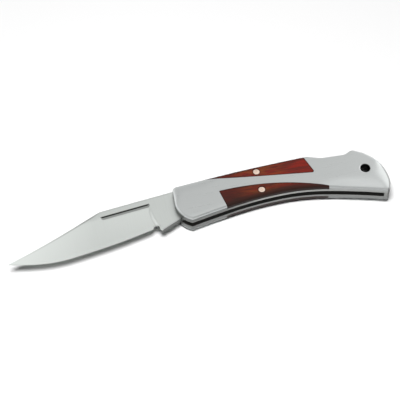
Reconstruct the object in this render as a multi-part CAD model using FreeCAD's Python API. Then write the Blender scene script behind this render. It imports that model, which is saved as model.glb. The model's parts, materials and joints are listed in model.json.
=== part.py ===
"""Lockback folding pocket knife: clip-point blade, stainless frame scales with wood inlays.

Millimetres. The origin is the middle of the lanyard hole. +X runs from the blade's pivot to the
lanyard hole, +Y to the spine and +Z out of the left side, so the knife lies on its right side.
The blade is modelled open. The lock bar is modelled lifted just clear of the tang.
"""
import FreeCAD
import Part
import math
import os

Vector = FreeCAD.Vector

# ---------------------------------------------------------------- driving dimensions
# stack, from the middle outwards
SLOT_WIDTH = 2.8                # blade well between the liners
BLADE_STOCK = 2.5               # steel of the blade and the lock bar
LINER_THICKNESS = 1.3
SCALE_THICKNESS = 2.3           # frame and inlays
WASHER_THICKNESS = 0.12
SPRING_THICKNESS = 0.7
SPRING_WIDTH = 2.3

# plan of the handle
PIVOT_TO_HOLE = 84.6
FRONT_REACH = 6.95              # front face ahead of the pivot
CHIN_REACH = 0.8                # lower front corner ahead of the pivot
BUTT_REACH = 9.65               # butt behind the lanyard hole
BELLY_FRONT_DEPTH = 10.05
BELLY_WAIST_DEPTH = 4.25
BELLY_WAIST_AT = 42.0           # ahead of the hole
BELLY_BUTT_DEPTH = 13.75
SPINE_FRONT_HEIGHT = 9.7
SPINE_RISE = 0.54               # crown of the spine line above its chord
SPINE_CROWN_HEIGHT = 12.95
THUMB_NOTCH_FRONT = 25.0        # ahead of the hole
THUMB_NOTCH_REAR = 7.5
THUMB_NOTCH_SLOPE = 5.9         # length of its front slope
THUMB_NOTCH_FLOOR = 10.25
HUMP_HEIGHT = 12.05
HUMP_AT = 3.3                   # ahead of the hole
BROW_RADIUS = 2.3               # upper front corner
HEEL_RADIUS = 1.5               # lower rear corner
NOTCH_FOOT_RADIUS = 9.0
NOTCH_HEEL_RADIUS = 3.0
HUMP_RADIUS = 2.6
EDGE_BREAK = 0.66               # outer edge of each scale, rolled over in two facets
EDGE_EASE = 0.26
LANYARD_RADIUS = 2.3
LANYARD_CHAMFER = 0.3

# inlays, as distances ahead of the hole
SPINE_INLAY_POINT = 77.0
SPINE_INLAY_POINT_HEIGHT = 10.8
SPINE_INLAY_END = 23.6
SPINE_INLAY_FOOT = 2.85         # height of its lower rear corner
SPINE_INLAY_SLANT = 3.3
BELLY_INLAY_FRONT = 70.2
BELLY_INLAY_TOP = 2.45
BELLY_INLAY_END = 19.3
INLAY_CORNER = 0.9
INLAY_FIT = 0.015

# blade, in its own plan: pivot at (0, 0), tip towards -X, spine parallel to X
OPEN_TILT = 6.0                 # degrees the open blade hangs below the handle's line
FOLD_ANGLE = 167.0
TIP_PAST_HOLE = 3.75            # reach of the tip past the lanyard hole, folded
TIP_DROP = 3.76
SPINE_OFFSET = 9.9
CLIP_LENGTH = 46.3
CLIP_HOLLOW = 0.75
BELLY_DEPTH = 9.65
EDGE_HEEL_DEPTH = 6.62
HEEL_REACH = 19.82
CHOIL_RADIUS = 1.45
KICK_REACH = 16.1
KICK_DEPTH = 9.0
RICASSO_LENGTH = 17.4           # unground steel ahead of the pivot
GRIND_HEIGHT = 6.2
GRIND_HOLLOW = 0.16
SECONDARY_BEVEL = 0.75
BEVEL_THICKNESS = 0.42
EDGE_THICKNESS = 0.06
NICK_LENGTH = 24.0
NICK_HEIGHT = 1.95
NICK_TOP = 7.05
NICK_DEPTH = 0.5

# tang and lock
PIVOT_RADIUS = 2.0
WASHER_RADIUS = 4.5
LOBE_RADIUS = 8.05
TANG_DIP_RADIUS = 6.9
TOOTH_FRONT = 2.3               # behind the pivot
TOOTH_REAR_ANGLE = 50.0         # degrees, seen from the pivot
TOOTH_BITE = 0.75
NOTCH_ROOM = 0.1
TOOTH_CLEARANCE = 0.08          # between the lifted tooth and the tang's lobe
ROCKER_AT = 50.5                # ahead of the hole
ROCKER_HEIGHT = 9.2
ROCKER_BOSS = 3.1
FRONT_ARM_FLOOR = 7.25
REAR_ARM_FLOOR = 7.4
BAR_BELOW_HUMP = 0.55
BAR_PRESS = 0.5                 # further degrees from lifted to fully pressed

# pins and running fits
PIN_RADIUS = 1.5
BELLY_PIN_DEPTH = 1.2           # below the hole's line
DIMPLE_RADIUS = 0.4
SPACER_PIN_RADIUS = 1.0
SPACER_PIN_PLACES = [(-3.0, 6.3), (5.9, -2.0)]
PIN_FIT = 0.015                 # radial, fixed pins
RUNNING_FIT = 0.03              # radial, turning pins
BAR_PAST_NOTCH = 0.9            # rear end of the bar behind the thumb notch
BAR_END_GAP = 0.35
TONGUE_LENGTH = 8.45            # of the spacer, ahead of the thumb notch's rear
TONGUE_GAP = 0.15               # under the pressed bar
SLOT_END = 5.6                  # end of the blade well behind the hole
EDGE_ROOM = 0.9                 # between the folded edge and the spacer
SPRING_ROOT = 3.6
SPRING_SEAT_HEIGHT = 3.3
SPRING_REACH = 16.0
SPRING_GAP = 0.06

# ---------------------------------------------------------------- derived places
PIVOT = Vector(-PIVOT_TO_HOLE, 0, 0)
ROCKER = Vector(-ROCKER_AT, ROCKER_HEIGHT, 0)
HALF_SLOT = SLOT_WIDTH / 2
HALF_STOCK = BLADE_STOCK / 2
LINER_TOP = HALF_SLOT + LINER_THICKNESS
SCALE_TOP = LINER_TOP + SCALE_THICKNESS
BLADE_REACH = PIVOT_TO_HOLE + TIP_PAST_HOLE
LIFT_ARM = ROCKER.x - PIVOT.x - LOBE_RADIUS * math.cos(math.radians(TOOTH_REAR_ANGLE))
LIFT_ANGLE = math.degrees((TOOTH_BITE + TOOTH_CLEARANCE)
                          / (LIFT_ARM * math.sin(math.radians(TOOTH_REAR_ANGLE))))
BAR_END = -THUMB_NOTCH_REAR + BAR_PAST_NOTCH
TONGUE_FRONT = -THUMB_NOTCH_REAR - TONGUE_LENGTH
BIG = 200.0                     # beyond every piece
UP = Vector(0, 0, 1)


# ---------------------------------------------------------------- geometry helpers
def at(x, y, z=0.0):
    return Vector(x, y, z)


def line(a, b):
    return Part.makeLine(a, b)


def arc(a, through, b):
    return Part.Arc(a, through, b).toShape()


def smooth(points):
    """Curve through the points."""
    curve = Part.BSplineCurve()
    curve.interpolate(points)
    return curve.toShape()


def flowing(start, direction, points):
    """Chain of arcs through the points, each one tangent to the arc before it."""
    edges = []
    for end in points:
        chord = end - start
        turn = math.atan2(direction.x * chord.y - direction.y * chord.x, direction.dot(chord))
        bulge = at(chord.y, -chord.x) * (math.tan(turn / 2) / 2)
        edges.append(arc(start, (start + end) * 0.5 + bulge, end))
        direction = turned(start + direction, start, math.degrees(2 * turn)) - start
        start = end
    return edges


def turned(point, centre, degrees):
    angle = math.radians(degrees)
    dx, dy = point.x - centre.x, point.y - centre.y
    return at(centre.x + dx * math.cos(angle) - dy * math.sin(angle),
              centre.y + dx * math.sin(angle) + dy * math.cos(angle))


def on_blade(x, y):
    """A point of the blade's own plan, with the blade open."""
    return turned(at(PIVOT.x + x, y), PIVOT, OPEN_TILT)


def folded(x, y):
    """The same point with the blade folded away."""
    return turned(on_blade(x, y), PIVOT, FOLD_ANGLE)


def about_pivot(radius, degrees):
    return turned(at(PIVOT.x + radius, 0), PIVOT, degrees)


def between(a, b, along, up):
    """The place that lies these shares of the way from a to b in X and in Y."""
    return at(a.x + (b.x - a.x) * along, a.y + (b.y - a.y) * up)


def slab(edges, low, high):
    """Flat plate between two heights, with the outline that the edges make."""
    face = Part.Face(Part.Wire(Part.__sortEdges__(edges)))
    face.translate(at(0, 0, low))
    return face.extrude(at(0, 0, high - low))


def path(points):
    return [line(a, b) for a, b in zip(points, points[1:])]


def polygon(points):
    return path(points + points[:1])


def round_bar(centre, radius, low, high):
    return Part.makeCylinder(radius, high - low, at(centre.x, centre.y, low), UP)


def right_side(shape):
    """The same piece on the other side of the blade."""
    return shape.mirror(at(0, 0, 0), UP)


def tidy(shape):
    return shape.removeSplitter()


# ---------------------------------------------------------------- shared outlines
SPACER_PINS = [at(x, y) for x, y in SPACER_PIN_PLACES]


def corner_arc(before, corner, after, radius):
    """Start, edge and end of the tangent arc in a corner."""
    to_before = (before - corner).normalize()
    to_after = (after - corner).normalize()
    half = to_before.getAngle(to_after) / 2
    back = radius / math.tan(half)
    start, end = corner + to_before * back, corner + to_after * back
    middle = (to_before + to_after).normalize()
    return start, arc(start, corner + middle * (radius / math.sin(half) - radius), end), end


BELLY_DIRECTION = at(0.951, -0.309)     # at the butt
BUTT_DIRECTION = at(-0.447, -0.894)
CHIN = at(PIVOT.x - CHIN_REACH, -BELLY_FRONT_DEPTH)
WAIST = at(-BELLY_WAIST_AT, -BELLY_WAIST_DEPTH)
BROW_CORNER = at(PIVOT.x - FRONT_REACH + 0.55, SPINE_FRONT_HEIGHT - 0.24)
BROW = corner_arc(at(PIVOT.x, SPINE_FRONT_HEIGHT + 0.4), BROW_CORNER, at(BROW_CORNER.x - 0.2, 0),
                  BROW_RADIUS)
HEEL_CORNER = at(BUTT_REACH - 1.9, -BELLY_BUTT_DEPTH - 0.4)
HEEL = corner_arc(HEEL_CORNER - BELLY_DIRECTION, HEEL_CORNER, HEEL_CORNER - BUTT_DIRECTION, HEEL_RADIUS)
NOTCH_TOP = at(-THUMB_NOTCH_FRONT, SPINE_CROWN_HEIGHT)
NOTCH_FOOT = at(-THUMB_NOTCH_FRONT + THUMB_NOTCH_SLOPE, THUMB_NOTCH_FLOOR + 0.45)
NOTCH_HEEL = at(-THUMB_NOTCH_REAR, THUMB_NOTCH_FLOOR - 0.1)
HUMP = at(-HUMP_AT, HUMP_HEIGHT)
HUMP_REAR = HUMP + at(0.22798 * BUTT_REACH, -1.2)


def spine_curve():
    """Crown line of the handle, from the front bolster to the thumb notch."""
    middle = at((BROW[0].x + NOTCH_TOP.x) / 2, (BROW[0].y + NOTCH_TOP.y) / 2 + SPINE_RISE)
    return arc(BROW[0], middle, NOTCH_TOP)


def handle_outline():
    """Plan of the handle: bolster front, belly, butt, thumb notch and spine."""
    brow_foot = at(PIVOT.x - FRONT_REACH, 0.12 * SPINE_FRONT_HEIGHT)
    front = flowing(BROW[2], at(-0.06, -1.0), [brow_foot, CHIN])
    belly = flowing(CHIN, at(0.98, 0.197),
                    [between(CHIN, WAIST, 0.45, 0.62), WAIST, between(WAIST, HEEL[0], 0.455, 0.238), HEEL[0]])
    butt = flowing(HEEL[2], HEEL[2] - HEEL_CORNER,
                   [at(BUTT_REACH, -0.545 * BELLY_BUTT_DEPTH),
                    at(0.917 * BUTT_REACH, -0.08 * BELLY_BUTT_DEPTH),
                    at(0.622 * BUTT_REACH, 0.394 * HUMP_HEIGHT), HUMP_REAR])
    foot = corner_arc(NOTCH_TOP, NOTCH_FOOT, NOTCH_HEEL, NOTCH_FOOT_RADIUS)
    dip = corner_arc(NOTCH_FOOT, NOTCH_HEEL, HUMP, NOTCH_HEEL_RADIUS)
    crest = corner_arc(NOTCH_HEEL, HUMP, HUMP_REAR, HUMP_RADIUS)
    return front + belly + [HEEL[1]] + butt + [
        line(HUMP_REAR, crest[2]), crest[1], line(crest[0], dip[2]), dip[1],
        line(dip[0], foot[2]), foot[1], line(foot[0], NOTCH_TOP), spine_curve(), BROW[1]]


def spine_pocket(grow=0.0):
    """Window for the long tapering inlay under the spine."""
    foot = at(-SPINE_INLAY_END + grow, SPINE_INLAY_FOOT - grow)
    top = at(-SPINE_INLAY_END - SPINE_INLAY_SLANT * 1.2 + grow, SPINE_CROWN_HEIGHT + 2.0)
    point = at(-SPINE_INLAY_POINT - grow, SPINE_INLAY_POINT_HEIGHT - grow)
    start, corner, end = corner_arc(top, foot, foot + at(-10, 1.3), INLAY_CORNER)
    lower = smooth([end, between(foot, point, 0.406, 0.371), between(foot, point, 0.708, 0.667), point])
    beyond = point + at(-1.0, 4.0)
    return [line(top, start), corner, lower, line(point, beyond), line(beyond, top)]


def belly_pocket(grow=0.0):
    """Window for the lens-shaped inlay above the belly."""
    top = at(-BELLY_INLAY_FRONT - grow, BELLY_INLAY_TOP + grow)
    bottom = at(-BELLY_INLAY_FRONT + 2.4 - grow, -BELLY_FRONT_DEPTH)
    rear = at(-BELLY_INLAY_END + grow, -BELLY_WAIST_DEPTH - 1.5 + grow)
    start, corner, end = corner_arc(bottom, top, top + at(10, 0.3), INLAY_CORNER * 0.6)
    upper = smooth([end, between(top, rear, 0.295, 0.0), between(top, rear, 0.57, 0.207),
                    between(top, rear, 0.835, 0.628), rear])
    below = at(-BELLY_INLAY_END + 0.3 + grow, -BELLY_BUTT_DEPTH)
    return [line(bottom, start), corner, upper, line(rear, below), line(below, bottom)]


# ---------------------------------------------------------------- pieces of one side
def lanyard_bore(low, high):
    return round_bar(at(0, 0), LANYARD_RADIUS, low, high)


def pin_holes(low, high, fit=PIN_FIT):
    """Everything drilled through one layer of the handle."""
    drills = [round_bar(PIVOT, PIVOT_RADIUS + fit, low, high),
              round_bar(ROCKER, PIN_RADIUS + fit, low, high),
              round_bar(at(ROCKER.x, -BELLY_PIN_DEPTH), PIN_RADIUS + fit, low, high),
              lanyard_bore(low, high)]
    drills += [round_bar(place, SPACER_PIN_RADIUS + fit, low, high) for place in SPACER_PINS]
    return drills


def make_liner():
    plate = slab(handle_outline(), HALF_SLOT, LINER_TOP)
    return plate.cut(pin_holes(HALF_SLOT - 1, LINER_TOP + 1))


def scale_blank():
    """Frame and inlays as one plate, its outer edge rolled over all round."""
    plate = slab(handle_outline(), LINER_TOP, SCALE_TOP)
    for facet in (EDGE_BREAK, EDGE_EASE):
        rim = [edge for edge in plate.Edges if abs(edge.BoundBox.ZMin - SCALE_TOP) < 0.001]
        plate = plate.makeChamfer(facet, rim)
    return plate


def make_frame(blank):
    windows = [slab(spine_pocket(), LINER_TOP - 1, SCALE_TOP + 1),
               slab(belly_pocket(), LINER_TOP - 1, SCALE_TOP + 1)]
    countersink = Part.makeCone(LANYARD_RADIUS, LANYARD_RADIUS + 2 * LANYARD_CHAMFER, 2 * LANYARD_CHAMFER,
                                at(0, 0, SCALE_TOP - LANYARD_CHAMFER), UP)
    return blank.cut(windows + pin_holes(LINER_TOP - 1, SCALE_TOP + 1) + [countersink])


def make_inlay(blank, pocket):
    plug = slab(pocket(-INLAY_FIT), LINER_TOP, SCALE_TOP)
    return blank.common(plug).cut(pin_holes(LINER_TOP - 1, SCALE_TOP + 1))


# ---------------------------------------------------------------- blade
EDGE_STATIONS = [(0.0, EDGE_HEEL_DEPTH), (0.245, BELLY_DEPTH - 1.1), (0.525, BELLY_DEPTH - 0.05),
                 (0.675, BELLY_DEPTH - 0.15), (0.83, BELLY_DEPTH - 2.1), (1.0, TIP_DROP)]


def edge_points():
    """Places on the cutting edge from heel to tip, in the blade's own plan."""
    span = BLADE_REACH - HEEL_REACH
    return [(-HEEL_REACH - share * span, -depth) for share, depth in EDGE_STATIONS]


def notch_floor_radius():
    return LOBE_RADIUS - TOOTH_BITE - NOTCH_ROOM


def blade_outline():
    """Plan of the open blade: clip, spine, lock notch, lobe, kick, choil and edge."""
    tip = on_blade(-BLADE_REACH, -TIP_DROP)
    clip_top = on_blade(-BLADE_REACH + CLIP_LENGTH, SPINE_OFFSET - 0.35)
    clip_mid = on_blade(-BLADE_REACH + CLIP_LENGTH / 2,
                        (SPINE_OFFSET - 0.35 - TIP_DROP) / 2 - CLIP_HOLLOW)
    spine_front = on_blade(-BLADE_REACH + CLIP_LENGTH + 1.4, SPINE_OFFSET)
    tilt = math.radians(OPEN_TILT)
    wall = TOOTH_FRONT - 2 * NOTCH_ROOM
    notch_top = at(PIVOT.x + wall, (SPINE_OFFSET + wall * math.sin(tilt)) / math.cos(tilt))
    floor = notch_floor_radius()
    floor_start = at(PIVOT.x + wall, math.sqrt(floor ** 2 - wall ** 2))
    rear = TOOTH_REAR_ANGLE - 0.5
    floor_mid = about_pivot(floor, (rear + math.degrees(math.acos(wall / floor))) / 2)
    floor_end = about_pivot(floor, rear)
    lobe_start = about_pivot(LOBE_RADIUS, rear)
    lobe_end = about_pivot(LOBE_RADIUS, -80.0)
    dip = about_pivot(TANG_DIP_RADIUS, -92.0)
    heel_rise = on_blade(-5.6, -5.45)
    kick = on_blade(-KICK_REACH, -KICK_DEPTH)
    choil_x = -HEEL_REACH + CHOIL_RADIUS
    kick_front = on_blade(choil_x + CHOIL_RADIUS, -KICK_DEPTH + 1.0)
    choil_rear = on_blade(choil_x + CHOIL_RADIUS, -EDGE_HEEL_DEPTH - 0.2)
    choil_top = on_blade(choil_x, -EDGE_HEEL_DEPTH - 0.2 + CHOIL_RADIUS)
    heel = on_blade(-HEEL_REACH, -EDGE_HEEL_DEPTH)
    edge = smooth([on_blade(x, y) for x, y in edge_points()])
    return [arc(tip, clip_mid, clip_top), line(clip_top, spine_front), line(spine_front, notch_top),
            line(notch_top, floor_start), arc(floor_start, floor_mid, floor_end),
            line(floor_end, lobe_start), arc(lobe_start, about_pivot(LOBE_RADIUS, -15.0), lobe_end),
            line(lobe_end, dip), line(dip, heel_rise), line(heel_rise, kick), line(kick, kick_front),
            line(kick_front, choil_rear), arc(choil_rear, choil_top, heel), edge]


def grind_section(x, depth):
    """Steel to be ground away on the left side at one place along the blade."""
    start = at(x, GRIND_HEIGHT, HALF_STOCK)
    shoulder = at(x, -depth + SECONDARY_BEVEL, BEVEL_THICKNESS / 2)
    edge = at(x, -depth, EDGE_THICKNESS / 2)
    hollow = (start + shoulder) * 0.5 - at(0, 0, GRIND_HOLLOW)
    below = at(x, -depth - 2.0, EDGE_THICKNESS / 2)
    outside = at(x, -depth - 2.0, HALF_STOCK + 1)
    above = at(x, GRIND_HEIGHT, HALF_STOCK + 1)
    return Part.Wire([arc(start, hollow, shoulder), line(shoulder, edge), line(edge, below),
                      line(below, outside), line(outside, above), line(above, start)])


def grind_cutter():
    """Hollow grind of the left side, ending in a sloping plunge at the ricasso."""
    stations = edge_points()
    heel, tip = stations[0], stations[-1]
    sections = [grind_section(heel[0] + 6.0, EDGE_HEEL_DEPTH - 0.9)]
    sections += [grind_section(x, -y) for x, y in stations[:-1]]
    sections.append(grind_section(tip[0] - 0.3, TIP_DROP - 0.1))
    wheel = Part.makeLoft(sections, True, False)
    top, bottom = GRIND_HEIGHT + 3, -BELLY_DEPTH - 2.35
    start, end = at(-RICASSO_LENGTH + 0.2, top), at(-RICASSO_LENGTH, bottom)
    plunge = [arc(start, at(-RICASSO_LENGTH - 0.9, 1.0), end)]
    plunge += path([end, at(-BIG, bottom), at(-BIG, top), start])
    face = Part.Face(Part.Wire(plunge))
    face.translate(at(0, 0, HALF_STOCK + 0.5))
    return wheel.common(face.extrude(at(-1.5, 0, -BLADE_STOCK)))


def nick_cutter():
    """Long nail nick: steep upper wall, sloping out towards the edge."""
    rear = -RICASSO_LENGTH
    section = Part.Wire(polygon([at(rear, NICK_TOP + 0.1, HALF_STOCK + 0.3),
                                 at(rear, NICK_TOP - 0.1, HALF_STOCK - NICK_DEPTH),
                                 at(rear, NICK_TOP - NICK_HEIGHT, HALF_STOCK - 0.05),
                                 at(rear, NICK_TOP - NICK_HEIGHT, HALF_STOCK + 0.3)]))
    return Part.Face(section).extrude(at(-NICK_LENGTH, 0, 0))


def make_blade():
    body = slab(blade_outline(), -HALF_STOCK, HALF_STOCK)
    cutters = []
    for cutter in (grind_cutter(), nick_cutter()):
        cutter.translate(PIVOT)
        cutter.rotate(PIVOT, UP, OPEN_TILT)
        cutters.append(cutter)
    grind, nick = cutters
    pin_hole = round_bar(PIVOT, PIVOT_RADIUS + RUNNING_FIT, -BLADE_STOCK, BLADE_STOCK)
    return body.cut([grind, right_side(grind), nick, pin_hole])


# ---------------------------------------------------------------- lock
def bar_crown():
    """Area under the line that the locked bar follows: along the spine, then on to the hump."""
    front, rear = BROW[0], HUMP - at(0, BAR_BELOW_HUMP)
    return [spine_curve()] + path([NOTCH_TOP, rear, at(HUMP.x, 0), at(front.x, 0), front])


def bar_region():
    """The bar's tooth, front arm, rear arm and rear end, before its top is trimmed."""
    bottom = LOBE_RADIUS - TOOTH_BITE
    front = at(PIVOT.x + TOOTH_FRONT, math.sqrt(bottom ** 2 - TOOTH_FRONT ** 2))
    rear = about_pivot(bottom, TOOTH_REAR_ANGLE)
    mid = about_pivot(bottom, (TOOTH_REAR_ANGLE + math.degrees(math.acos(TOOTH_FRONT / bottom))) / 2)
    wall_top = about_pivot(FRONT_ARM_FLOOR / math.sin(math.radians(TOOTH_REAR_ANGLE)), TOOTH_REAR_ANGLE)
    sides = [rear, wall_top, at(ROCKER.x, FRONT_ARM_FLOOR), at(ROCKER.x, REAR_ARM_FLOOR),
             at(BAR_END, REAR_ARM_FLOOR), at(BAR_END, BIG), at(front.x, BIG), front]
    return [arc(front, mid, rear)] + path(sides)


def make_lock_bar():
    """Rocking bar, drawn home in the notch and then lifted clear of the lobe."""
    arms = slab(bar_region(), -HALF_STOCK, HALF_STOCK)
    boss = round_bar(ROCKER, ROCKER_BOSS, -HALF_STOCK, HALF_STOCK)
    crown = slab(bar_crown(), -HALF_STOCK, HALF_STOCK)
    bar = tidy(arms.fuse(boss).common(crown))
    bar = bar.cut(round_bar(ROCKER, PIN_RADIUS + RUNNING_FIT, -BLADE_STOCK, BLADE_STOCK))
    bar.rotate(ROCKER, UP, -LIFT_ANGLE)
    return bar


def bar_underside(x, extra):
    """Height of the rear arm's underside at x, with the bar turned further from locked."""
    home = at(x, REAR_ARM_FLOOR)
    return turned(home, ROCKER, -LIFT_ANGLE - extra).y


def spring_edges(half):
    """Leaf profile: straight root, then a tangent arc up to the bar's rear arm."""
    root = at(TONGUE_FRONT + SPRING_ROOT, SPRING_SEAT_HEIGHT)
    bend = at(TONGUE_FRONT - 0.5, SPRING_SEAT_HEIGHT)
    rise = bar_underside(bend.x - SPRING_REACH, BAR_PRESS) - SPRING_GAP - SPRING_THICKNESS / 2 - bend.y
    radius = (SPRING_REACH ** 2 + rise ** 2) / (2 * rise)
    sweep = math.asin(SPRING_REACH / radius)

    def on_arc(share, offset):
        angle = sweep * share
        r = radius - offset
        return at(bend.x - r * math.sin(angle), bend.y + radius - r * math.cos(angle))

    upper, lower = at(0, half), at(0, -half)
    return [line(root + lower, root + upper), line(root + upper, bend + upper),
            arc(on_arc(0, half), on_arc(0.5, half), on_arc(1, half)),
            line(on_arc(1, half), on_arc(1, -half)),
            arc(on_arc(1, -half), on_arc(0.5, -half), on_arc(0, -half)),
            line(bend + lower, root + lower)]


def make_lock_spring():
    return slab(spring_edges(SPRING_THICKNESS / 2), -SPRING_WIDTH / 2, SPRING_WIDTH / 2)


# ---------------------------------------------------------------- spacer, washers and pins
def make_rear_spacer():
    """Butt spacer round the lanyard hole, with the tongue that holds the spring."""
    rear_top = at(BAR_END + BAR_END_GAP, BIG)
    tongue_top = bar_underside(BAR_END, BAR_PRESS) - TONGUE_GAP
    well = [folded(x, y) + at(0, EDGE_ROOM) for x, y in edge_points()[-3:]]
    well_end = at(SLOT_END, well[-1].y - 1.0)
    region = slab(path([rear_top, at(rear_top.x, tongue_top), at(well[0].x, tongue_top), well[0]])
                  + [smooth(well)]
                  + path([well[-1], well_end, at(SLOT_END, -BIG), at(BIG, -BIG), at(BIG, BIG), rear_top]),
                  -HALF_SLOT, HALF_SLOT)
    body = region.common(slab(handle_outline(), -HALF_SLOT, HALF_SLOT))
    trim = slab(polygon([at(TONGUE_FRONT, -BIG), at(TONGUE_FRONT, BIG), at(-BIG, BIG), at(-BIG, -BIG)]),
                -SLOT_WIDTH, SLOT_WIDTH)
    seat = slab(spring_edges(SPRING_THICKNESS / 2 + PIN_FIT), -SLOT_WIDTH, SLOT_WIDTH)
    drills = [round_bar(place, SPACER_PIN_RADIUS + PIN_FIT, -SLOT_WIDTH, SLOT_WIDTH) for place in SPACER_PINS]
    return body.cut([trim, seat, lanyard_bore(-SLOT_WIDTH, SLOT_WIDTH)] + drills)


def make_washer():
    middle = (HALF_STOCK + HALF_SLOT) / 2
    low, high = middle - WASHER_THICKNESS / 2, middle + WASHER_THICKNESS / 2
    return round_bar(PIVOT, WASHER_RADIUS, low, high).cut(
        round_bar(PIVOT, PIVOT_RADIUS + PIN_FIT, low - 1, high + 1))


def dimple(centre, height):
    """Shallow punch mark in the end of a pin."""
    depth = DIMPLE_RADIUS / 2
    return Part.makeCone(0, 2 * DIMPLE_RADIUS, 2 * depth, at(centre.x, centre.y, height - depth), UP)


def make_through_pin(centre, radius):
    return round_bar(centre, radius, -SCALE_TOP, SCALE_TOP)


def make_rocker_pin():
    mark = dimple(ROCKER, SCALE_TOP)
    return make_through_pin(ROCKER, PIN_RADIUS).cut([mark, right_side(mark)])


def make_belly_pin():
    centre = at(ROCKER.x, -BELLY_PIN_DEPTH)
    return round_bar(centre, PIN_RADIUS, HALF_SLOT, SCALE_TOP).cut(dimple(centre, SCALE_TOP))


# ---------------------------------------------------------------- assembly
def build():
    """Every piece of the knife by name."""
    blank = scale_blank()
    left = {"liner": make_liner(), "frame": make_frame(blank),
            "spine_inlay": make_inlay(blank, spine_pocket),
            "belly_inlay": make_inlay(blank, belly_pocket),
            "pivot_washer": make_washer(), "belly_pin": make_belly_pin()}
    pieces = {"blade": make_blade(), "lock_bar": make_lock_bar(), "lock_spring": make_lock_spring(),
              "rear_spacer": make_rear_spacer(), "pivot_pin": make_through_pin(PIVOT, PIVOT_RADIUS),
              "rocker_pin": make_rocker_pin(),
              "front_spacer_pin": make_through_pin(SPACER_PINS[0], SPACER_PIN_RADIUS),
              "rear_spacer_pin": make_through_pin(SPACER_PINS[1], SPACER_PIN_RADIUS)}
    for name, piece in left.items():
        pieces["left_" + name] = piece
        pieces["right_" + name] = right_side(piece)
    return pieces


def main():
    os.makedirs("parts", exist_ok=True)
    for name, shape in build().items():
        solid = shape.Solids[0] if len(shape.Solids) == 1 else shape
        print(name, "solids", len(shape.Solids), "valid", shape.isValid(), "volume", round(shape.Volume, 1))
        solid.exportStep("parts/" + name + ".step")
    print("lift angle", round(LIFT_ANGLE, 4))


if __name__ == "__main__":
    main()
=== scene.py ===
"""Visible surfaces, finishes and studio of a lockback folding knife.

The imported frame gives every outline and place. The scales and the blade are made again here as
dense smooth surfaces over those outlines, and the pins as turned shapes. Lengths are in metres.
"""

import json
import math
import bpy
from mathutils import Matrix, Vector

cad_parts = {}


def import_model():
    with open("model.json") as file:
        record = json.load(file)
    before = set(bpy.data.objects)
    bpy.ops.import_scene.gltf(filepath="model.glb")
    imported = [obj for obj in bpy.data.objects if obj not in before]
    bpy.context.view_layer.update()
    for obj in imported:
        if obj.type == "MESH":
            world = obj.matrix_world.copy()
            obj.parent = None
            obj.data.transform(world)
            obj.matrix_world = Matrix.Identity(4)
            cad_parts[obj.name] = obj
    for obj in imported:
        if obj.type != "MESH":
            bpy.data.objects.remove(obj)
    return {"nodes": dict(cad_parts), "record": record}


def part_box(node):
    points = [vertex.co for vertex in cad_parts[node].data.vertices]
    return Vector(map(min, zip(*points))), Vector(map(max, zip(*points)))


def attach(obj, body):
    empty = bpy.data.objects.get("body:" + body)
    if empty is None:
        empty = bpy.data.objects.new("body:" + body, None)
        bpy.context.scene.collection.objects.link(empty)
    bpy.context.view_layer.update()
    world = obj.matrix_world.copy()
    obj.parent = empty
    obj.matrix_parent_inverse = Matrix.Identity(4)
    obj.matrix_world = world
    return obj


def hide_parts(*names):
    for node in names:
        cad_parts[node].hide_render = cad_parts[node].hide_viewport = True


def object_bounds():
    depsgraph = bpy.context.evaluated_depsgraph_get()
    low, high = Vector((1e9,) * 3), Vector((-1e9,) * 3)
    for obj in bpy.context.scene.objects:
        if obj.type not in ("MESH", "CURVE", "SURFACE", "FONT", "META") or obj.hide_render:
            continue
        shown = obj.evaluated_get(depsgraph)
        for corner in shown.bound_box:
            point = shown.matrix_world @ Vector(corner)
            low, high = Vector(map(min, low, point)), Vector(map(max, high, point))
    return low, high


bl_info = {
    "name": "Lockback Folding Knife",
    "version": (1, 0, 0),
    "blender": (4, 5, 0),
    "location": "View3D > Sidebar > Knife",
    "description": "Builds the visible surfaces, finishes and studio of a lockback folding knife",
    "category": "Add Mesh",
}

from collections import namedtuple

import bpy
import numpy as np
from bpy.props import FloatProperty, FloatVectorProperty, PointerProperty
from mathutils import Matrix, Vector
from mathutils.geometry import delaunay_2d_cdt

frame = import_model()
CAD_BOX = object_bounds()

MM = 0.001
UP = Vector((0.0, 0.0, 1.0))
SCALE_BACK, SCALE_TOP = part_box("left_frame")[0].z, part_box("left_frame")[1].z
SCALE_CUT = (SCALE_BACK + SCALE_TOP) / 2 - 0.4 * MM  # below every eased outer edge of a scale
WELL_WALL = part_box("left_liner")[0].z
LINER_CUT = (SCALE_BACK + WELL_WALL) / 2
BLADE_CUT = 0.002 * MM  # just off the middle plane
PIVOT = (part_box("pivot_pin")[0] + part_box("pivot_pin")[1]) / 2
HALF_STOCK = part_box("blade")[1].z
BLADE_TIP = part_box("blade")[0].x
WOOD_PINS = (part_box("left_belly_pin")[0].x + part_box("left_belly_pin")[1].x) / 2
FLOOR_GAP = 1.4 * MM
FLOOR = CAD_BOX[0][2] - FLOOR_GAP


def length(name, description, default):
    return FloatProperty(name=name, description=description, default=default, unit="LENGTH", precision=5)


def colour(name, description, default):
    return FloatVectorProperty(name=name, description=description, default=default, size=3,
                               subtype="COLOR", min=0.0, max=1.0)


def number(name, description, default):
    return FloatProperty(name=name, description=description, default=default, precision=3)


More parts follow.
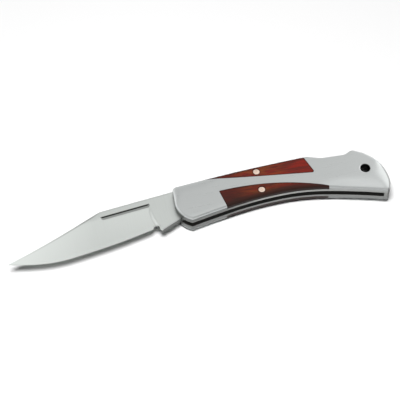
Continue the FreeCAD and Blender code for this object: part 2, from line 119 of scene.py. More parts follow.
# ---------------------------------------------------------------- what a user would change
class KnifeScaleSizes(bpy.types.PropertyGroup):
    roll_drop: length("Roll Drop", "Height lost over the rolled outer edge of a scale", 1.1 * MM)
    roll_width: length("Roll Width", "Width of the rolled edge along most of the scale", 1.1 * MM)
    butt_width: length("Butt Width", "Extra width of the roll at the butt", 5.0 * MM)
    heel_width: length("Heel Width", "Width of the slope along the belly side of the butt", 8.5 * MM)
    heel_share: number("Heel Share", "Share of the height lost that the slope takes over", 0.75)
    brow_width: length("Brow Width", "Extra width of the roll on the spine side of the bolster", 3.0 * MM)
    hole_lip: length("Hole Lip", "Width and depth of the eased lip of the lanyard hole", 0.3 * MM)
    spacing: length("Surface Spacing", "Distance between the points of the flat surfaces", 1.3 * MM)
    edge_spacing: length("Edge Spacing", "Distance between the points along an edge", 0.45 * MM)


class KnifeBladeSizes(bpy.types.PropertyGroup):
    tilt: FloatProperty(name="Open Tilt", description="Angle that the open blade hangs below the handle",
                        default=math.radians(6.0), subtype="ANGLE")
    grind_height: length("Grind Height", "Top of the hollow grind above the pivot", 6.2 * MM)
    hollow: length("Hollow", "Sag of the hollow grind below a flat grind", 0.14 * MM)
    bevel_width: length("Bevel Width", "Width of the honed bevel at the edge", 0.75 * MM)
    bevel_half: length("Bevel Half Thickness", "Half of the steel above the honed bevel", 0.21 * MM)
    edge_half: length("Edge Half Thickness", "Half of the steel left at the cutting edge", 0.03 * MM)
    ricasso: length("Ricasso", "Unground steel ahead of the pivot", 17.5 * MM)
    plunge_bow: number("Plunge Bow", "Curvature of the plunge line, per metre", 26.0)
    plunge_width: length("Plunge Width", "Length over which the grind fades out", 1.7 * MM)
    nick_top: length("Nick Top", "Upper edge of the nail nick above the pivot", 7.08 * MM)
    nick_height: length("Nick Height", "Height of the nail nick", 1.95 * MM)
    nick_front: length("Nick Front", "Front end of the nail nick ahead of the pivot", 41.4 * MM)
    nick_rear: length("Nick Rear", "Rear end of the nail nick ahead of the pivot", 17.5 * MM)
    nick_depth: length("Nick Depth", "Depth of the nail nick", 0.5 * MM)
    nick_wall: length("Nick Wall", "Width of the steep upper wall of the nail nick", 0.16 * MM)
    nick_end: length("Nick End", "Length of the sloping ends of the nail nick", 0.9 * MM)
    spacing: length("Surface Spacing", "Distance between the points of the blade's sides", 0.85 * MM)
    edge_spacing: length("Edge Spacing", "Distance between the points along the outline", 0.4 * MM)


class KnifePinSizes(bpy.types.PropertyGroup):
    dome: length("Dome", "Height of the crowned end of a bright pin", 0.12 * MM)
    dimple_radius: length("Dimple Radius", "Radius of the punch mark in a bright pin", 0.6 * MM)
    dimple_depth: length("Dimple Depth", "Depth of the punch mark in a bright pin", 0.34 * MM)
    cover: length("Cover", "Steel peened over the ends of the hidden pins", 1.3 * MM)


class KnifeFinishes(bpy.types.PropertyGroup):
    blade_steel: colour("Blade Steel", "Satin ground steel of the blade", (0.582, 0.608, 0.587))
    frame_steel: colour("Frame Steel", "Brushed steel of the bolsters and frames", (0.512, 0.530, 0.525))
    # Painted shade: the upright sides of the frames and the blade are darkened to this share of their faces.
    side_shade: number("Side Shade", "Tone of the sides towards the belly, as a share of the faces", 0.22)
    liner_steel: colour("Liner Steel", "Steel of the liners, the spacer and the lock bar", (0.34, 0.35, 0.34))
    # Painted shadow: this dark stands in for the shade in the blade well, the lanyard hole, the nail nick and
    # along the butt's end.
    painted_shadow: colour("Well Dark", "Oiled steel inside the blade well", (0.05, 0.048, 0.045))
    wood_red: colour("Wood Red", "Brightest streaks of the red wood", (0.195, 0.016, 0.010))
    wood_orange: colour("Wood Orange", "Warm patches of the red wood", (0.19, 0.046, 0.014))
    wood_brown: colour("Wood Brown", "Body colour of the red wood", (0.085, 0.014, 0.010))
    wood_dark: colour("Wood Dark", "Dark streaks of the red wood", (0.016, 0.007, 0.005))
    pin_metal: colour("Pin Metal", "Pale metal of the handle pins", (0.70, 0.55, 0.455))
    washer_bronze: colour("Washer Bronze", "Bronze of the pivot washers", (0.62, 0.38, 0.18))


class KnifeStudio(bpy.types.PropertyGroup):
    floor: colour("Floor", "Plain pale floor", (0.90, 0.90, 0.90))
    horizon: number("Horizon", "Brightness of the room at the horizon, as a gloss shows it", 1.1)
    shoulder: number("Shoulder", "Brightness of the room well above the horizon", 0.80)
    overhead: number("Overhead", "Brightness added nearly overhead", 0.74)
    left: number("Left", "Brightness added on the blade's side", 0.5)
    right: number("Right", "Brightness added behind the butt", 0.9)
    front: number("Front", "Brightness added on the belly's side, below zero to take it away", -0.3)
    room_fill: number("Room Fill", "Light of the room on matt surfaces", 0.01)
    key_power: FloatProperty(name="Key Power", description="Power of the large lamp overhead",
                             default=8.8, unit="POWER")
    key_size: length("Key Size", "Width of the large lamp overhead", 0.40)
    key_from: FloatVectorProperty(name="Key Place", description="Place of the lamp, from the aim", size=3,
                                  default=(-0.06, -0.14, 0.8), subtype="TRANSLATION")
    lens: number("Lens", "Focal length in millimetres", 134.9)
    distance: length("Distance", "From the lens to the knife", 0.7)
    turn: FloatProperty(name="Turn", description="Turn of the view about the upright axis",
                        default=math.radians(-12.92), subtype="ANGLE")
    tilt: FloatProperty(name="Tilt", description="Lean of the view from straight down",
                        default=math.radians(35.0), subtype="ANGLE")
    aim: FloatVectorProperty(name="Aim", description="Point that the camera looks at", size=3,
                             default=(-0.07909, 0.00276, 0.0), subtype="TRANSLATION")


# ---------------------------------------------------------------- outlines read from the frame
Outline = namedtuple("Outline", "start end following")
PLACES = 7  # decimal places of a metre that a level cut keeps
LEAST = 1e-12  # a length or a rise below this counts as none


def section(node, height):
    """Level cut through a CAD node, as directed edges with the solid on their left.

    Each triangle that crosses the level gives one edge. It runs from the side where the triangle's
    border falls through the level to the side where it rises, and every crossing is worked out from
    the lower corner, so neighbours agree exactly. Rounding to a tenth of a micron closes up stray
    edges that are shorter than that.
    """
    mesh = frame["nodes"][node].data
    places = np.empty(len(mesh.vertices) * 3, np.float32)
    mesh.vertices.foreach_get("co", places)
    corners = np.empty(len(mesh.loops), np.int32)
    mesh.loops.foreach_get("vertex_index", corners)
    here = places.reshape(-1, 3).astype(float)[corners].reshape(-1, 3, 3)
    above = here[:, :, 2] > height
    crossing = above.any(1) & ~above.all(1)
    here, above = here[crossing], above[crossing]
    there, there_above = np.roll(here, -1, axis=1), np.roll(above, -1, axis=1)
    low = np.where(above[..., None], there, here)
    high = np.where(above[..., None], here, there)
    rise = high[..., 2] - low[..., 2]
    share = (height - low[..., 2]) / np.where(np.abs(rise) < LEAST, 1.0, rise)
    crossed = np.round((low + share[..., None] * (high - low))[..., :2], PLACES)
    start, end = crossed[above & ~there_above], crossed[~above & there_above]
    real = np.any(start != end, axis=1)
    return linked(start[real], end[real])


def linked(start, end):
    """Outline of directed edges, each with the number of the edge that begins where it ends."""
    ids = np.unique(np.vstack([start, end]), axis=0, return_inverse=True)[1].reshape(-1)
    start_id, end_id = ids[:len(start)], ids[len(start):]
    order = np.argsort(start_id)
    return Outline(start, end, order[np.searchsorted(start_id[order], end_id)])


def loop_names(outline):
    """Number of the loop that each edge is on: the least edge number met by going round it."""
    names, hop = np.arange(len(outline.start)), outline.following
    for _ in range(len(names).bit_length()):
        names, hop = np.minimum(names, names[hop]), hop[hop]
    return names


def loops_where(outline, wanted):
    """Only the loops for which wanted(middle, span) holds, from each loop's own box."""
    names = loop_names(outline)
    keep = np.zeros(len(names), bool)
    for name in np.unique(names):
        mine = names == name
        low, high = outline.start[mine].min(0), outline.start[mine].max(0)
        if wanted((low + high) / 2, (high - low).max()):
            keep |= mine
    return linked(outline.start[keep], outline.end[keep])


def outer_loop(outline):
    """Only the loop that reaches furthest towards -X."""
    names = loop_names(outline)
    first = names[np.argmin(outline.start[:, 0])]
    return linked(outline.start[names == first], outline.end[names == first])


def divided(outline, spacing):
    """The same outline with every edge cut into equal parts no longer than the spacing."""
    span = outline.end - outline.start
    parts = np.maximum(np.ceil(np.hypot(*span.T) / spacing), 1).astype(int)
    edge = np.repeat(np.arange(len(parts)), parts)
    step = np.arange(len(edge)) - np.repeat(np.cumsum(parts) - parts, parts)
    start = outline.start[edge] + span[edge] * (step / parts[edge])[:, None]
    first = np.cumsum(parts) - parts
    following = np.where(step + 1 < parts[edge], np.arange(len(edge)) + 1, first[outline.following[edge]])
    return Outline(start, start[following], following)


def to_outline(points, outline):
    """Distance from each point to the nearest edge of the outline."""
    span = outline.end - outline.start
    square = np.maximum((span ** 2).sum(1), LEAST ** 2)
    away = points[:, None, :] - outline.start[None]
    share = np.clip((away * span[None]).sum(2) / square, 0, 1)
    return np.sqrt(((away - share[..., None] * span[None]) ** 2).sum(2).min(1))


def within(points, outline):
    """True for points inside: a ray towards +X crosses the outline an odd number of times."""
    x, y = points[:, :1], points[:, 1:]
    (ax, ay), (bx, by) = outline.start.T, outline.end.T
    straddles = (ay[None] > y) != (by[None] > y)
    rise = np.where(by == ay, 1.0, by - ay)
    crossing = ax + (y - ay) * (bx - ax) / rise
    return ((straddles & (x < crossing)).sum(1) % 2) == 1


def handle_outline():
    """The handle's border, which the left liner shows whole."""
    return outer_loop(section("left_liner", LINER_CUT))


def lanyard_radius():
    """Radius of the hole round the origin, from the level cut of the liner."""
    return np.hypot(*section("left_liner", LINER_CUT).start.T).min()


def inner_rows(outline, distances, kept=0.93):
    """Rows of points that follow the outline inwards at the given distances.

    Each point goes in along the mean of the two edges that meet at it. A point that another stretch
    of the outline comes nearer to than the kept share of its distance is left out.
    """
    ahead = outline.end - outline.start
    ahead = ahead / np.maximum(np.hypot(*ahead.T), LEAST)[:, None]
    before = np.empty_like(ahead)
    before[outline.following] = ahead
    mean = ahead + before
    mean = mean / np.maximum(np.hypot(*mean.T), 1e-9)[:, None]
    inward = np.stack([-mean[:, 1], mean[:, 0]], 1)
    rows = []
    for distance in distances:
        row = outline.start + inward * distance
        clear = to_outline(row, outline) > kept * distance
        rows.append(row[clear & within(row, outline)])
    return np.vstack(rows)


def honeycomb(outline, spacing, clear):
    """Even triangular grid of points over the inside of the outline, clear of its edges."""
    low, high = outline.start.min(0), outline.start.max(0)
    across = np.arange(low[0], high[0], spacing)
    up = np.arange(low[1], high[1], spacing * math.sqrt(3) / 2)
    x, y = np.meshgrid(across, up)
    x[1::2] += spacing / 2
    points = np.stack([x.ravel(), y.ravel()], 1)
    points = points[within(points, outline)]
    return points[to_outline(points, outline) > clear]


# ---------------------------------------------------------------- surfaces over an outline
def filled(outline, loose, creases=()):
    """Triangles over the inside of the outline through the loose points and along the creases.

    The outline's own edges are numbered first. Those of the finished edges that are made from one
    of them are the fence between the inside and the outside.
    """
    count = len(outline.start)
    points = [outline.start, loose]
    edges = np.stack([np.arange(count), outline.following], 1)
    total = count + len(loose)
    for crease in creases:
        points.append(crease)
        line = np.arange(total, total + len(crease) - 1)
        edges = np.vstack([edges, np.stack([line, line + 1], 1)])
        total += len(crease)
    plan = [Vector(p) for p in np.vstack(points) / MM]
    done = delaunay_2d_cdt(plan, edges.tolist(), [], 0, 1e-6, True)
    plan, triangles = np.array([p[:] for p in done[0]]) * MM, np.array(done[2], int)
    fence = np.array(done[1], int)[[min(made_of, default=count) < count for made_of in done[4]]]
    return plan, triangles[inside_fence(plan, triangles, fence, outline)]


def inside_fence(plan, triangles, fence, outline):
    """True for the triangles that the outline's edges, the fence, part from the outside.

    Triangles that share an edge which is no fence are one part, and each part is named after its
    least triangle. The largest triangle of a part says for all of them whether they are inside.
    """
    weights = np.array([len(plan), 1])
    sides = np.sort(triangles[:, [[0, 1], [1, 2], [2, 0]]].reshape(-1, 2), 1) @ weights
    order = np.argsort(sides, kind="stable")
    sides, owner = sides[order], order // 3
    shared = (sides[1:] == sides[:-1]) & ~np.isin(sides[1:], np.sort(fence, 1) @ weights)
    one, other = owner[:-1][shared], owner[1:][shared]
    names = np.arange(len(triangles))
    while np.any(names[one] != names[other]):
        least = np.minimum(names[one], names[other])
        np.minimum.at(names, one, least)
        np.minimum.at(names, other, least)
        names = names[names]
    first, second, third = plan[triangles].transpose(1, 2, 0)
    (ax, ay), (bx, by) = second - first, third - first
    by_size = np.argsort(np.abs(ax * by - ay * bx))
    largest = np.zeros(len(triangles), int)
    largest[names[by_size]] = by_size
    return within(plan[triangles].mean(1), outline)[largest[names]]


def closed_plate(plan, triangles, top, bottom):
    """Vertices and faces of the solid between two heights over one triangulated plan.

    The upper face is the plan lifted to top, the lower is the plan at bottom turned over, and each
    border edge of the plan, used by one triangle only, becomes one upright four-sided face.
    """
    count = len(plan)
    vertices = np.vstack([np.column_stack([plan, top]), np.column_stack([plan, bottom])])
    sides = np.vstack([triangles[:, [0, 1]], triangles[:, [1, 2]], triangles[:, [2, 0]]])
    key = np.sort(sides, 1) @ np.array([count, 1])
    first, uses = np.unique(key, return_index=True, return_counts=True)[1:]
    rim = sides[first[uses == 1]]
    walls = np.column_stack([rim[:, 0] + count, rim[:, 1] + count, rim[:, 1], rim[:, 0]])
    return vertices, [triangles, triangles[:, ::-1] + count, walls]


def both_sides(vertices, faces):
    """The solid on the left, and its mirror image on the right with its faces turned outwards."""
    return (("left", vertices, faces),
            ("right", vertices * np.array([1, 1, -1]), [f[:, ::-1] for f in faces]))


def make_mesh(name, vertices, faces, sharp=35):
    """Smooth mesh whose edges stay crisp where its faces turn by more than the sharp angle."""
    mesh = bpy.data.meshes.new(name)
    sizes = np.concatenate([np.full(len(f), f.shape[1]) for f in faces])
    corners = np.concatenate([f.ravel() for f in faces])
    mesh.vertices.add(len(vertices))
    mesh.vertices.foreach_set("co", vertices.astype(np.float32).ravel())
    mesh.loops.add(len(corners))
    mesh.loops.foreach_set("vertex_index", corners.astype(np.int32))
    mesh.polygons.add(len(sizes))
    mesh.polygons.foreach_set("loop_start", (np.cumsum(sizes) - sizes).astype(np.int32))
    mesh.update(calc_edges=True)
    mesh.validate()
    mesh.polygons.foreach_set("use_smooth", np.ones(len(mesh.polygons), bool))
    mesh.set_sharp_from_angle(angle=math.radians(sharp))
    return mesh


def record(mesh, name, values):
    """Keeps one number for each vertex, which the finishes read under the given name."""
    mesh.attributes.new(name, "FLOAT", "POINT").data.foreach_set("value", values)


def finish_sides(mesh, finish):
    """Gives the upright sides, which are the mesh's only four-sided faces, a finish of their own."""
    mesh.materials.append(finish)
    corners = np.empty(len(mesh.polygons), np.int32)
    mesh.polygons.foreach_get("loop_total", corners)
    mesh.polygons.foreach_set("material_index", (corners == 4).astype(np.int32))


def place(name, mesh, finish, body, slot, *nodes):
    """Puts a finished mesh into the scene in place of the CAD nodes it stands for."""
    piece = bpy.data.objects.new(name, mesh)
    bpy.context.scene.collection.objects.link(piece)
    mesh.materials.append(finish)
    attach(piece, body)
    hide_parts(*nodes)


def dress(node, finish, bevel=0.0):
    """Gives a CAD node its finish and, where asked, a fine eased edge."""
    piece = frame["nodes"][node]
    piece.data.materials.clear()
    piece.data.materials.append(finish)
    if bevel:
        weld = piece.modifiers.new("Weld", "WELD")
        weld.merge_threshold = 0.001 * MM
        ease = piece.modifiers.new("Ease", "BEVEL")
        ease.width, ease.segments, ease.limit_method = bevel, 2, "ANGLE"
        ease.angle_limit = math.radians(35)


# ---------------------------------------------------------------- finishes
def smoothstep(low, high, values):
    """Zero before low, one past high, 3 t squared - 2 t cubed between. Low may be the larger."""
    share = np.clip((values - low) / (high - low), 0, 1)
    return share * share * (3 - 2 * share)


class Nodes:
    """A node tree, filled in from left to right."""

    def __init__(self, tree):
        self.tree = tree
        self.column = -1500

    def add(self, kind, inputs=None, **settings):
        made = self.tree.nodes.new(kind)
        self.column += 120
        made.location = (min(self.column, -240), 300 - (self.column % 7) * 60)
        for key, value in settings.items():
            setattr(made, key, value)
        self.fill(made, inputs or {})
        return made

    def fill(self, node, inputs):
        """Links outputs to a node's inputs, or sets them to plain numbers and colours."""
        for key, value in inputs.items():
            socket = node.inputs[key]
            if isinstance(value, bpy.types.NodeSocket):
                self.tree.links.new(value, socket)
            elif value is not None:
                socket.default_value = (*value, 1.0) if socket.type == "RGBA" else value

    def where(self, kind="Object"):
        return self.add("ShaderNodeTexCoord").outputs[kind]

    def ranged(self, value, low, high, to_low, to_high):
        ends = {"Value": value, "From Min": low, "From Max": high, "To Min": to_low, "To Max": to_high}
        return self.add("ShaderNodeMapRange", ends).outputs["Result"]

    def maths(self, operation, first, second=None):
        return self.add("ShaderNodeMath", {0: first, 1: second}, operation=operation).outputs[0]

    def towards(self, vector, direction):
        """Dot product of a vector and a direction, which is made a unit vector first."""
        pair = {0: vector, 1: Vector(direction).normalized()}
        return self.add("ShaderNodeVectorMath", pair, operation="DOT_PRODUCT").outputs["Value"]


class Finish(Nodes):
    """The node tree of a new material."""

    def __init__(self, name):
        self.material = bpy.data.materials.new(name)
        self.material.use_nodes = True
        super().__init__(self.material.node_tree)
        self.shader = self.tree.nodes["Principled BSDF"]

    def shade(self, inputs):
        self.fill(self.shader, inputs)

    def stretched(self, scale, turn=0.0):
        """Object coordinates turned about Z and scaled, so that a pattern runs in streaks."""
        inputs = {"Vector": self.where(), "Rotation": (0.0, 0.0, turn), "Scale": scale}
        return self.add("ShaderNodeMapping", inputs).outputs["Vector"]

    def noise(self, vector, detail=3.0, roughness=0.5, distortion=0.0):
        inputs = {"Vector": vector, "Scale": 1.0, "Detail": detail, "Roughness": roughness,
                  "Distortion": distortion}
        return self.add("ShaderNodeTexNoise", inputs).outputs["Fac"]

    def blended(self, share, first, second):
        return self.add("ShaderNodeMix", {0: share, 6: first, 7: second}, data_type="RGBA").outputs[2]

    def turn_to(self, share, shade):
        """Blends the colour so far into another by the given share."""
        tone = self.shader.inputs["Base Color"].links[0].from_socket
        self.shade({"Base Color": self.blended(share, tone, shade)})

    def part_of_place(self, axis):
        return self.add("ShaderNodeSeparateXYZ", {0: self.where()}).outputs[axis]

    def attribute(self, name):
        return self.add("ShaderNodeAttribute", attribute_name=name).outputs["Fac"]

    def bumped(self, height, strength, distance):
        relief = self.add("ShaderNodeBump", {"Strength": strength, "Distance": distance, "Height": height})
        self.shade({"Normal": relief.outputs["Normal"]})


def tinted(shade, factor):
    return tuple(min(c * factor, 1.0) for c in shade)


STREAKS, CLOUDS = (0.3, 0.7), (0.35, 0.65)  # the parts of a noise's range that patterns use


def brushed_steel(name, shade, roughness, turn=0.0, along=45.0, across=2600.0, strength=0.25, contrast=0.05):
    """Steel with fine scratches along one direction: streaks in tone, roughness and relief."""
    finish = Finish(name)
    streaks = finish.noise(finish.stretched((along, across, across), turn), 4.0, 0.6)
    cloud = finish.noise(finish.stretched((90.0, 90.0, 90.0)), 2.0)
    dim, bright = tinted(shade, 1 - contrast), tinted(shade, 1 + contrast)
    tone = finish.blended(finish.ranged(streaks, *STREAKS, 0, 1), dim, bright)
    tone = finish.blended(finish.ranged(cloud, *CLOUDS, 0, 0.25), tone, dim)
    gloss = finish.ranged(streaks, *STREAKS, roughness - 0.02, roughness + 0.02)
    finish.shade({"Base Color": tone, "Metallic": 1.0, "Roughness": gloss})
    finish.bumped(streaks, strength, 0.01 * MM)
    return finish


def red_wood(name, finishes):
    """Oiled rosewood: long wavering streaks between red and brown, and fine dark pores.

    It is warmer round the pins, and the darkness attribute, from zero to one, turns it dark.
    """
    finish = Finish(name)
    waves = finish.noise(finish.stretched((50.0, 620.0, 620.0), math.radians(9)), 3.0, 0.55, 1.4)
    fibres = finish.noise(finish.stretched((150.0, 3400.0, 3400.0), math.radians(5)), 4.0, 0.7)
    patches = finish.noise(finish.stretched((110.0, 420.0, 420.0), math.radians(-12)), 2.0, 0.5, 0.8)
    body = finish.blended(finish.ranged(waves, 0.36, 0.56, 0, 1), finishes.wood_brown, finishes.wood_red)
    away = finish.maths("ABSOLUTE", finish.maths("ADD", finish.part_of_place("X"), -WOOD_PINS))
    near = finish.ranged(away, 4.0 * MM, 15.0 * MM, 1.0, 0.0)
    warm = finish.maths("MULTIPLY", near, finish.ranged(patches, 0.40, 0.58, 0, 0.9))
    body = finish.blended(warm, body, finishes.wood_orange)
    streaked = finish.blended(finish.ranged(fibres, 0.50, 0.70, 0, 0.7), body, finishes.wood_dark)
    finish.shade({"Base Color": finish.blended(finish.attribute("darkness"), streaked, finishes.wood_dark),
                  "Roughness": finish.ranged(fibres, *STREAKS, 0.36, 0.5), "Specular IOR Level": 0.18})
    finish.bumped(fibres, 0.3, 0.02 * MM)
    return finish.material


def shaded_side_steel(name, shade, dark):
    """Steel of the upright sides, with painted shade.

    It is darkened low down, at the front of the handle, and where it faces the belly's front or the butt, as
    painted shade and painted dark reflection of a shadowed floor. Each of these two ways to face comes in
    between two values of the dot product.
    """
    finish = brushed_steel(name, shade, 0.42)
    # Painted shade: darker low down, at the front of the handle, and on sides that face the belly's front or
    # the butt.
    low_shade = finish.ranged(finish.part_of_place("Z"), -0.6 * SCALE_TOP, 0.0, 0.6, 0.0)
    front = finish.ranged(finish.part_of_place("X"), PIVOT.x + 2 * MM, PIVOT.x + 11 * MM, 0.75, 0.0)
    share = finish.maths("MAXIMUM", low_shade, front)
    for direction, low, high in (((0.42, -0.91, 0.0), 0.93, 0.98), ((0.87, -0.50, 0.0), 0.80, 0.93)):
        facing_shade = finish.ranged(finish.towards(finish.where("Normal"), direction), low, high, 0.0, 1.0)
        share = finish.maths("MAXIMUM", share, facing_shade)
    finish.turn_to(share, dark)
    return finish


def paint_bore_shadow(finish, dark):
    """Paints shadow on the wall of the lanyard hole, below its eased lip, turning it black."""
    across = finish.maths("POWER", finish.part_of_place("X"), 2.0)
    up = finish.maths("POWER", finish.part_of_place("Y"), 2.0)
    radius = finish.maths("SQRT", finish.maths("ADD", across, up))
    edge = lanyard_radius()
    near = finish.ranged(radius, edge + 0.16 * MM, edge + 0.20 * MM, 1.0, 0.0)
    height = finish.maths("ABSOLUTE", finish.part_of_place("Z"))
    deep = finish.ranged(height, SCALE_TOP - 0.20 * MM, SCALE_TOP - 0.12 * MM, 1.0, 0.0)
    finish.turn_to(finish.maths("MULTIPLY", near, deep), dark)


def paint_recess_shade(finish, dark):
    """Paints shade by the shade_share attribute, which runs from zero to one.

    Values up to 0.1 take half of the dark, and the highest values the other half.
    """
    shade_share = finish.attribute("shade_share")
    gentle = finish.ranged(shade_share, 0.0, 0.1, 0.0, 0.5)
    deep = finish.ranged(shade_share, 0.72, 0.92, 0.0, 0.5)
    finish.turn_to(finish.maths("ADD", gentle, deep), dark)


# ---------------------------------------------------------------- scales
# Where the roll changes, as the range along X and the range along Y over which it comes in
BUTT = (4.6 * MM, 9.0 * MM), (4.0 * MM, -2.0 * MM)
HEEL = (-26.0 * MM, -9.0 * MM), (-1.0 * MM, -7.0 * MM)
HEEL_END = (2.0 * MM, 7.0 * MM), (1.5 * MM, -4.0 * MM)
BROW = (-62.0 * MM, -80.0 * MM), (0.0 * MM, 7.0 * MM)
# Where the painted dark line along the butt's end comes in
SHADED_END = (7.0 * MM, 7.8 * MM), (1.5 * MM, -1.5 * MM)
ON_BORDER = 0.03 * MM  # a point this near to the handle's border is on it
ROLL_ANGLES = np.radians([20, 35, 50, 65, 80, 90])  # of the rows of points over the rolled edge


def region(points, over_x, over_y):
    """How far each point is inside a region: a smooth step along X times one along Y."""
    return smoothstep(*over_x, points[:, 0]) * smoothstep(*over_y, points[:, 1])


def rolled_top(plan, sizes):
    """Height of a scale's outer face over each point of the plan.

    The face is flat, and rolls down to the handle's outline by a quarter of an ellipse: at a
    distance d inside the outline it has lost drop x (1 - sqrt(1 - (1 - d / width) squared)). The
    width grows at the butt and on the spine side of the front bolster. Round the heel, which is the
    belly side of the butt, a share of the drop is lost by a slope instead, drop x share x
    (1 - d / heel width) squared, and the ellipse keeps the rest.
    """
    inside = to_outline(plan, handle_outline())
    inside[inside < ON_BORDER] = 0.0
    width = sizes.roll_width + sizes.butt_width * region(plan, *BUTT) + sizes.brow_width * region(plan, *BROW)
    roll = 1 - np.sqrt(1 - np.clip(1 - inside / width, 0, 1) ** 2)
    heel = sizes.heel_share * np.maximum(region(plan, *HEEL), region(plan, *HEEL_END))
    slope = heel * np.clip(1 - inside / sizes.heel_width, 0, 1) ** 2
    return SCALE_TOP - sizes.roll_drop * (slope + (1 - heel) * roll)


def scale_solid(node, sizes, keep=None):
    """Closed solid of one frame or inlay: its CAD outline with the rolled outer face."""
    outline = section(node, SCALE_CUT)
    if keep:
        outline = loops_where(outline, keep)
    outline = divided(outline, sizes.edge_spacing)
    rows = inner_rows(outline, sizes.roll_width * (1 - np.cos(ROLL_ANGLES)))
    loose = np.vstack([rows, honeycomb(outline, sizes.spacing, 1.5 * sizes.roll_width)])
    plan, triangles = filled(outline, loose)
    lip = np.clip(lanyard_radius() + sizes.hole_lip - np.hypot(*plan.T), 0, sizes.hole_lip)
    top = rolled_top(plan, sizes) - lip
    return closed_plate(plan, triangles, top, np.full(len(plan), SCALE_BACK))


def border_or_lanyard(middle, span):
    """Loops that show in a frame: its border, wider than any hole, and the hole round the origin."""
    return span > 10 * MM or np.hypot(*middle) < 0.5 * MM


def painted_end_shade(points):
    """Painted shade at each point: a dark line of painted reflection along the end of the butt, from zero to
    one.
    """
    line = 0.75 * smoothstep(0.75 * MM, 0.3 * MM, to_outline(points, handle_outline()))
    return line * region(points, *SHADED_END)


class KNIFE_OT_frames(bpy.types.Operator):
    """Brushed steel frames with a rolled outer edge, wider at the butt"""
    bl_idname = "knife.frames"
    bl_label = "Steel Frames"

    def execute(self, context):
        finishes = context.scene.knife_finishes
        shade, dark = finishes.frame_steel, finishes.painted_shadow
        flats = brushed_steel("brushed_frame_steel", shade, 0.29, strength=0.02, contrast=0.01)
        paint_recess_shade(flats, dark)
        # Painted shade: the frames' upright sides take the face steel at 0.75, and the side shade where
        # shaded_side_steel paints it.
        edges = shaded_side_steel("frame_side_steel", tinted(shade, 0.75), tinted(shade, finishes.side_shade))
        for finish in (flats, edges):
            paint_bore_shadow(finish, dark)
        solid = scale_solid("left_frame", context.scene.knife_scales, border_or_lanyard)
        for side, vertices, faces in both_sides(*solid):
            mesh = make_mesh(side + "_steel_frame", vertices, faces)
            # Painted shade: a dark line of painted reflection along the butt's end.
            record(mesh, "shade_share", painted_end_shade(vertices[:, :2]))
            place(side + "_steel_frame", mesh, flats.material, "handle", "frame_steel", side + "_frame")
            finish_sides(mesh, edges.material)
        return {"FINISHED"}


def darkened_wood(points, node, reach, overall_dark):
    """How dark the wood is at each point, from zero to one.

    The whole inlay is darkened to a given share. A dark line follows its own border, a wider shade fades
    inwards from the handle's edge over the given reach, partly the wood's own tone and partly painted shade
    where the scale rolls down, and the wood darkens from its pins towards the front bolster.
    """
    line = 0.85 * smoothstep(0.6 * MM, 0.1 * MM, to_outline(points, section(node, SCALE_CUT)))
    # Partly painted shade: darker towards the handle's edge, where the scale rolls down.
    shade = 0.9 * smoothstep(reach, 0.15 * reach, to_outline(points, handle_outline()))
    front = 0.6 * smoothstep(-4.0 * MM, -14.0 * MM, points[:, 0] - WOOD_PINS)
    return 1 - (1 - line) * (1 - shade) * (1 - overall_dark) * (1 - front)


class KNIFE_OT_inlays(bpy.types.Operator):
    """Red wood inlays, level with the frames and rolled with them at the handle's edge"""
    bl_idname = "knife.inlays"
    bl_label = "Wood Inlays"

    def execute(self, context):
        wood = red_wood("oiled_rosewood", context.scene.knife_finishes)
        for kind, reach, overall_dark in (("spine", 1.7 * MM, 0.08), ("belly", 4.2 * MM, 0.38)):
            node = "left_" + kind + "_inlay"
            solid = scale_solid(node, context.scene.knife_scales)
            darkness = darkened_wood(solid[0][:, :2], node, reach, overall_dark)
            for side, vertices, faces in both_sides(*solid):
                name = side + "_" + kind
                mesh = make_mesh(name + "_wood", vertices, faces)
                record(mesh, "darkness", darkness)
                place(name + "_wood", mesh, wood, "handle", "inlay_wood", name + "_inlay")
        return {"FINISHED"}


# ---------------------------------------------------------------- blade
HEEL_LENGTH = 2.3 * MM  # from the plunge to the first point of the cutting edge
PLUNGE_LEVEL = 0.5 * MM  # height above the pivot at which the plunge stands furthest back
BLADE_ROWS = np.array([0.12, 0.3, 0.55, 0.8, 1.2]) * MM  # distances of the rows along the border
GRID_CLEAR, FINE_CLEAR = 1.5 * MM, 1.3 * MM  # what the even and the fine grid leave free there
FINE_STEP, FINE_RISE = 0.35 * MM, 0.6 * MM  # spacing of the fine grid across the plunge and up it
FINE_FOOT, FINE_EXTRA = -9.0 * MM, 0.5 * MM  # its lowest row, and its reach past the plunge


def blade_plan(points, tilt):
    """Points of the frame in the blade's own plan: pivot at zero, spine level, tip towards -X."""
    x, y = points[:, 0] - PIVOT.x, points[:, 1] - PIVOT.y
    c, s = math.cos(tilt), math.sin(tilt)
    return np.stack([x * c + y * s, y * c - x * s], 1)


def from_blade_plan(points, tilt):
    """The way back: points of the blade's own plan in the frame."""
    u, v = points.T
    c, s = math.cos(tilt), math.sin(tilt)
    return np.stack([PIVOT.x + u * c - v * s, PIVOT.y + u * s + v * c], 1)


def cutting_edge(outline, sizes):
    """The directed edges of the outline that lie on the cutting edge, in the blade's own plan."""
    start, end = blade_plan(outline.start, sizes.tilt), blade_plan(outline.end, sizes.tilt)
    lower = (end[:, 0] > start[:, 0]) & (start[:, 0] < -sizes.ricasso - HEEL_LENGTH)
    return Outline(start[lower], end[lower], np.arange(lower.sum()))


def plunge_line(v, sizes):
    """Place of the plunge at each height: a parabola about its own level."""
    return -sizes.ricasso + sizes.plunge_bow * (v - PLUNGE_LEVEL) ** 2


def plunge_points(sizes):
    """Finer grid of points over the stretch where the grind fades out, in the blade's own plan."""
    u, v = np.meshgrid(np.arange(-FINE_EXTRA, sizes.plunge_width + FINE_EXTRA, FINE_STEP),
                       np.arange(FINE_FOOT, sizes.grind_height + 2 * FINE_EXTRA, FINE_RISE))
    return np.stack([(plunge_line(v, sizes) - u).ravel(), v.ravel()], 1)


